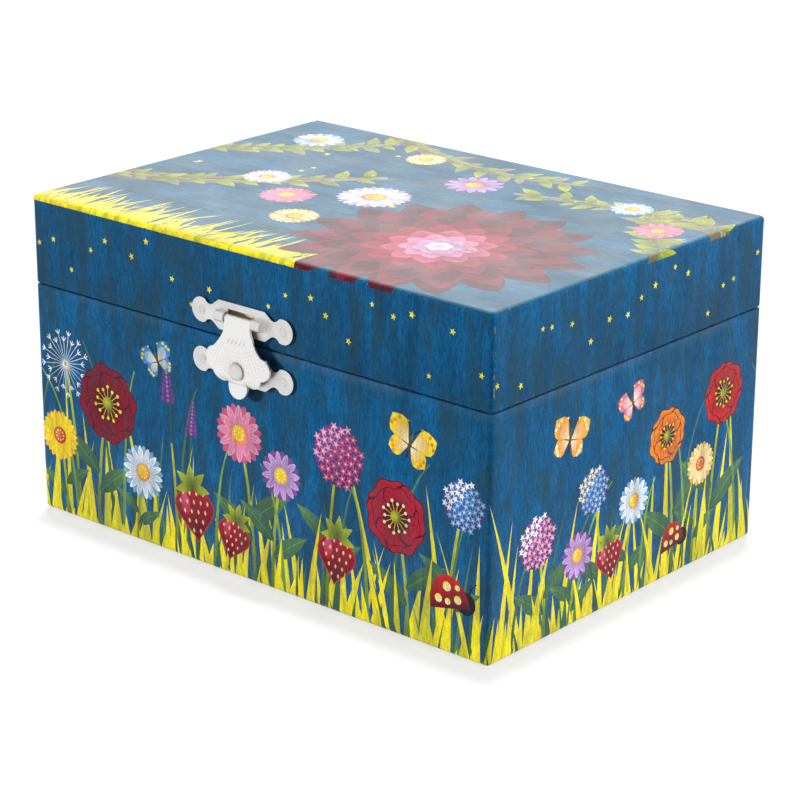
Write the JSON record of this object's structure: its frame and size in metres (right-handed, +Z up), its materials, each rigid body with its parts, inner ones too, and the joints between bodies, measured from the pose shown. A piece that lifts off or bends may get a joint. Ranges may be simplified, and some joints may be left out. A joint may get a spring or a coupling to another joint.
{
  "type": "musical jewellery box",
  "caption": "Rectangular paper-covered musical jewellery box with a hinged lid, stamped front clasp, lined wells, a wind-up movement and a dancer that turns on a stage.",
  "frame": {"origin": "centre of the underside, on the surface the box stands on", "axes": "+X to the right along the width, +Y to the back, +Z up; the clasp faces -Y"},
  "size_m": [0.185, 0.1587, 0.105],
  "materials": {
    "print_paper": "semi-gloss laminated print",
    "board": "raw fibreboard",
    "base_paper": "matt dark paper",
    "lining": "short flock on card",
    "soft_lining": "padded velvet",
    "card": "grey board",
    "mirror": "silvered glass",
    "nickel": "bright nickel plate",
    "zinc": "die-cast zinc",
    "steel": "ground steel",
    "brass": "turned brass",
    "white_plastic": "moulded",
    "disc_plastic": "moulded, glossy",
    "figure": "painted plastic",
    "tulle": "stiff tulle"
  },
  "bodies": {
    "box": {"base_paper": "base_paper", "base_board": "board", "front_wall": "board", "back_wall": "board", "left_wall": "board", "right_wall": "board", "body_wrap": "print_paper", "liner_front": "lining", "liner_back": "lining", "liner_left": "lining", "liner_right": "lining", "well_pad": "soft_lining", "partition_long": "lining", "partition_cross": "lining", "stage_deck": "lining", "ring_tray": "lining", "deck_cleats": "card", "ring_rolls": "soft_lining", "hinge_body_leaves": "nickel", "hinge_pins": "nickel", "hinge_body_nails": "nickel", "clasp_lower_plate": "nickel", "clasp_lower_rivets": "nickel", "clasp_stud": "nickel", "movement_bedplate": "zinc", "movement_screws": "nickel", "comb": "steel", "comb_screws": "steel", "governor_housing": "white_plastic", "key_grommet": "nickel", "spindle_bush": "white_plastic"},
    "lid": {"lid_side_wrap": "print_paper", "lid_top_sheet": "print_paper", "lid_front_rail": "board", "lid_back_rail": "board", "lid_left_rail": "board", "lid_right_rail": "board", "lid_top_board": "board", "lid_liner": "lining", "lid_ceiling_panel": "lining", "mirror": "mirror", "hinge_lid_leaves": "nickel", "hinge_lid_nails": "nickel", "clasp_upper_plate": "nickel", "clasp_upper_rivets": "nickel", "clasp_pin": "nickel"},
    "hasp": {"clasp_hasp": "nickel", "clasp_button": "nickel"},
    "winder": {"winding_arbor": "steel", "winding_key": "nickel"},
    "barrel": {"spring_barrel": "brass", "barrel_cap": "brass", "mainspring": "steel"},
    "cylinder": {"tune_cylinder": "brass"},
    "governor": {"governor_pinion": "white_plastic"},
    "dancer": {"spindle": "steel", "turntable_disc": "disc_plastic", "dancer_figure": "figure", "dancer_tutu": "tulle"},
    "stop": {"stop_wire": "steel"}
  },
  "joints": [
    {"name": "lid_hinge", "type": "hinge", "parent": "box", "child": "lid", "pos_m": [0, 0.0672, 0.0762], "axis": [-1, 0, 0], "range_deg": [0, 100]},
    {"name": "hasp_hinge", "type": "hinge", "parent": "lid", "child": "hasp", "pos_m": [-0.0015, -0.067, 0.0833], "axis": [-1, 0, 0], "range_deg": [-2.5, 115]},
    {"name": "key_turn", "type": "hinge", "parent": "box", "child": "winder", "pos_m": [0.054, 0.07, 0.024], "axis": [0, 1, 0], "continuous": true},
    {"name": "barrel_turn", "type": "hinge", "parent": "box", "child": "barrel", "pos_m": [0.054, 0.0465, 0.024], "axis": [0, 1, 0], "continuous": true},
    {"name": "cylinder_turn", "type": "hinge", "parent": "box", "child": "cylinder", "pos_m": [0.027, 0.03637, 0.024], "axis": [1, 0, 0], "continuous": true},
    {"name": "governor_turn", "type": "hinge", "parent": "box", "child": "governor", "pos_m": [0.0145, 0.04287, 0.03051], "axis": [1, 0, 0], "continuous": true},
    {"name": "dancer_turn", "type": "hinge", "parent": "box", "child": "dancer", "pos_m": [0.054, 0.03637, 0.05], "axis": [0, 0, 1], "continuous": true},
    {"name": "stop_lift", "type": "slide", "parent": "box", "child": "stop", "axis": [0, 0, 1], "range_m": [0, 0.0025]}
  ],
  "couplings": [
    {"joint": "cylinder_turn", "follows": "barrel_turn", "ratio": 3},
    {"joint": "governor_turn", "follows": "barrel_turn", "ratio": -10.8},
    {"joint": "dancer_turn", "follows": "barrel_turn", "ratio": -3},
    {"joint": "stop_lift", "follows": "lid_hinge", "m_per_rad": 0.001431}
  ]
}
